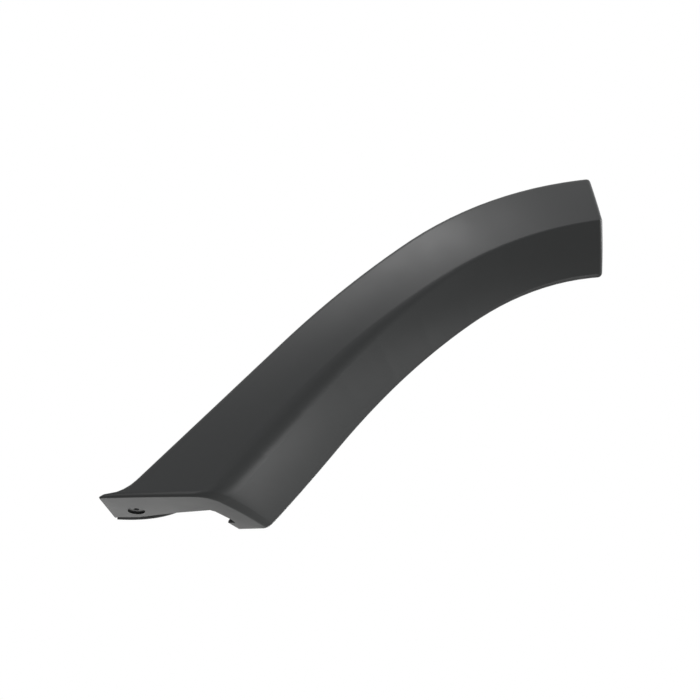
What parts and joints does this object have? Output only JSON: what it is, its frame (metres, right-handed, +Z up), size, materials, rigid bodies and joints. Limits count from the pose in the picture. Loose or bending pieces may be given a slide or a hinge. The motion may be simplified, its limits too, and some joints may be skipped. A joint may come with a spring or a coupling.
{
  "type": "wheel arch trim",
  "caption": "Moulded strip that covers a quarter of a wheel arch: creased skin, returned edges, flat foot with a recessed screw hole, clip towers behind.",
  "frame": {"origin": "centre of the screw hole in the foot, where the screw's head seats", "axes": "+X along the car, from the tip of the foot to the top end; +Z up; -Y out of the car, the side that is seen"},
  "size_m": [0.5683, 0.1347, 0.3998],
  "materials": {
    "trim_plastic": "satin, fine moulded grain, black"
  },
  "bodies": {
    "root": {"arch_trim": "trim_plastic"}
  },
  "joints": []
}
